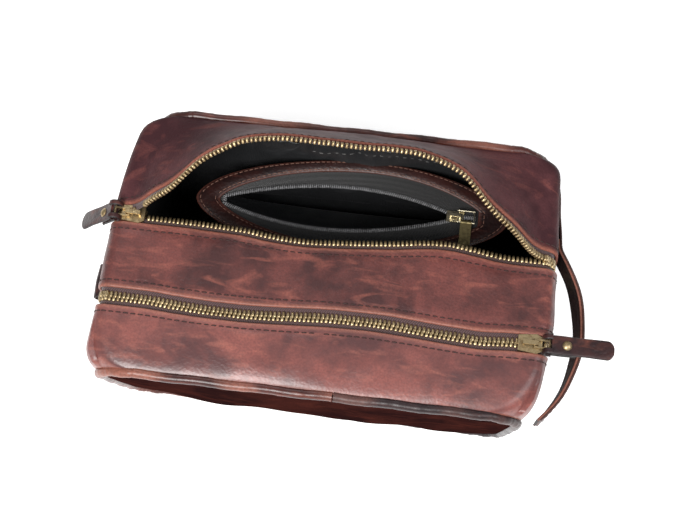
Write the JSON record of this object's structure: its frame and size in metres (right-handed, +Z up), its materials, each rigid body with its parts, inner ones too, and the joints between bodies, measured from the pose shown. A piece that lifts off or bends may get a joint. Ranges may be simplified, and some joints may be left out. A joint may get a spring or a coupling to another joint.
{
  "type": "shaving kit bag",
  "caption": "Soft leather toiletry bag with two zipped compartments, one mouth standing open, a bowed side handle, leather zip pulls and a zipped inner pocket.",
  "frame": {"origin": "middle of the base, on the surface the bag stands on", "axes": "+X along the bag towards the handle end, +Y to the back with the open mouth, +Z up; at rest the rear zip is open with its slider at the left end, and the front zip is shut"},
  "size_m": [0.3051, 0.158, 0.1853],
  "materials": {
    "panel_leather": "oiled pull-up leather, mottled dark red-brown, semi-gloss",
    "band_leather": "oiled pull-up leather, mottled red-brown, satin",
    "gusset_leather": "oiled pull-up leather, satin",
    "piping_leather": "rubbed red-brown leather over cord",
    "piping_dark": "dark charcoal leather over cord",
    "trim_leather": "red-brown leather with dark painted edges",
    "handle_lining": "dark flesh side",
    "pocket_leather": "dark red-brown leather trim",
    "lining": "black satin lining, slight sheen",
    "zip_tape": "purple-brown herringbone tape",
    "nylon_tape": "black nylon tape",
    "nylon_coil": "black nylon coil",
    "brass": "antique brass",
    "antique_brass": "dark olive brass",
    "pale_metal": "pale brass, bright",
    "cord": "twisted filler cord",
    "board": "stiffening board"
  },
  "bodies": {
    "root": {"back_panel": "panel_leather", "back_piping": "piping_leather", "back_piping_cord": "cord", "base_board": "board", "base_gusset": "gusset_leather", "centre_band": "band_leather", "divider_board": "board", "front_corner_left": "band_leather", "front_corner_right": "band_leather", "front_lining": "lining", "front_panel": "panel_leather", "front_piping_cord": "cord", "front_piping_left": "piping_leather", "front_piping_right": "piping_dark", "front_zip_stops": "brass", "front_zip_tape_ends": "zip_tape", "front_zip_tape_inner": "zip_tape", "front_zip_teeth_ends": "brass", "front_zip_teeth_inner": "brass", "grip_tab": "trim_leather", "handle_end_back": "trim_leather", "handle_end_front": "trim_leather", "handle_tab": "trim_leather", "pocket_pouch_front": "lining", "pocket_pouch_rear": "lining", "pocket_trim": "pocket_leather", "pocket_zip_coil": "nylon_coil", "pocket_zip_tape": "nylon_tape", "rear_corner_left": "band_leather", "rear_corner_right": "band_leather", "rear_lining": "lining", "rear_zip_stops": "brass", "rear_zip_tape_ends": "zip_tape", "rear_zip_tape_inner": "zip_tape", "rear_zip_teeth_ends": "brass", "rear_zip_teeth_inner": "brass"},
    "rear_lip": {"rear_strip": "band_leather", "rear_strip_lining": "lining", "rear_zip_tape_outer": "zip_tape", "rear_zip_teeth_outer": "brass"},
    "front_lip": {"front_strip": "band_leather", "front_strip_lining": "lining", "front_zip_tape_outer": "zip_tape", "front_zip_teeth_outer": "brass"},
    "rear_slider": {"rear_slider": "brass"},
    "rear_link": {"rear_pull_link": "brass"},
    "rear_pull": {"rear_pull": "trim_leather", "rear_pull_rivet": "brass"},
    "front_slider": {"front_slider": "brass"},
    "front_link": {"front_pull_link": "brass"},
    "front_pull": {"front_pull": "trim_leather", "front_pull_rivet": "brass"},
    "handle": {"handle_outer_layer": "trim_leather", "handle_inner_layer": "handle_lining"},
    "pocket_slider": {"pocket_slider": "pale_metal"},
    "pocket_ring": {"pocket_pull_ring": "pale_metal"},
    "pocket_tab": {"pocket_pull_tab": "antique_brass"}
  },
  "joints": [
    {"name": "rear_lip_hinge", "type": "hinge", "parent": "root", "child": "rear_lip", "pos_m": [0, 0.076, 0.1291], "axis": [1, 0, 0], "range_deg": [0, 60], "deforming": ["rear_strip", "rear_strip_lining", "rear_zip_tape_outer", "rear_zip_teeth_outer"]},
    {"name": "front_lip_hinge", "type": "hinge", "parent": "root", "child": "front_lip", "pos_m": [0, -0.076, 0.1291], "axis": [1, 0, 0], "range_deg": [0, 50], "deforming": ["front_strip", "front_strip_lining", "front_zip_tape_outer", "front_zip_teeth_outer"]},
    {"name": "rear_zip_slide", "type": "slide", "parent": "root", "child": "rear_slider", "axis": [1, 0, 0], "range_m": [0, 0.212], "deforming": ["rear_zip_teeth_inner", "rear_zip_teeth_ends", "rear_zip_tape_inner", "rear_zip_tape_ends"]},
    {"name": "front_zip_slide", "type": "slide", "parent": "root", "child": "front_slider", "axis": [-1, 0, 0], "range_m": [0, 0.212], "deforming": ["front_zip_teeth_inner", "front_zip_teeth_ends", "front_zip_tape_inner", "front_zip_tape_ends"]},
    {"name": "rear_link_hinge", "type": "hinge", "parent": "rear_slider", "child": "rear_link", "pos_m": [-0.1153, 0.012, 0.1316], "axis": [0, 1, 0], "range_deg": [0, 150]},
    {"name": "rear_pull_hinge", "type": "hinge", "parent": "rear_link", "child": "rear_pull", "pos_m": [-0.1233, 0.012, 0.1316], "axis": [0, 1, 0], "range_deg": [0, 48]},
    {"name": "front_link_hinge", "type": "hinge", "parent": "front_slider", "child": "front_link", "pos_m": [0.1153, -0.037, 0.1316], "axis": [0, -1, 0], "range_deg": [0, 150]},
    {"name": "front_pull_hinge", "type": "hinge", "parent": "front_link", "child": "front_pull", "pos_m": [0.1233, -0.037, 0.1316], "axis": [0, -1, 0], "range_deg": [-45, 25]},
    {"name": "handle_hinge", "type": "hinge", "parent": "root", "child": "handle", "pos_m": [0.127, -0.0185, 0.097], "axis": [0, 1, 0], "range_deg": [-38, 38], "stiffness_Nm_per_rad": 0.02, "deforming": ["handle_end_front", "handle_end_back"]},
    {"name": "pocket_zip_slide", "type": "slide", "parent": "root", "child": "pocket_slider", "axis": [-1, 0, 0], "range_m": [0, 0.12], "deforming": ["pocket_trim", "pocket_zip_tape", "pocket_zip_coil"]},
    {"name": "pocket_ring_hinge", "type": "hinge", "parent": "pocket_slider", "child": "pocket_ring", "pos_m": [0.0695, 0.04299, 0.1041], "axis": [0, -1, 0], "range_deg": [0, 60]},
    {"name": "pocket_tab_hinge", "type": "hinge", "parent": "pocket_ring", "child": "pocket_tab", "pos_m": [0.07445, 0.03939, 0.1041], "axis": [-1, 0, 0], "range_deg": [0, 80]}
  ],
  "couplings": [
    {"joint": "rear_zip_slide", "follows": "rear_lip_hinge", "m_per_rad": 0.20244},
    {"joint": "rear_pull_hinge", "follows": "rear_lip_hinge", "ratio": 0.8},
    {"joint": "front_zip_slide", "follows": "front_lip_hinge", "m_per_rad": 0.24293}
  ]
}
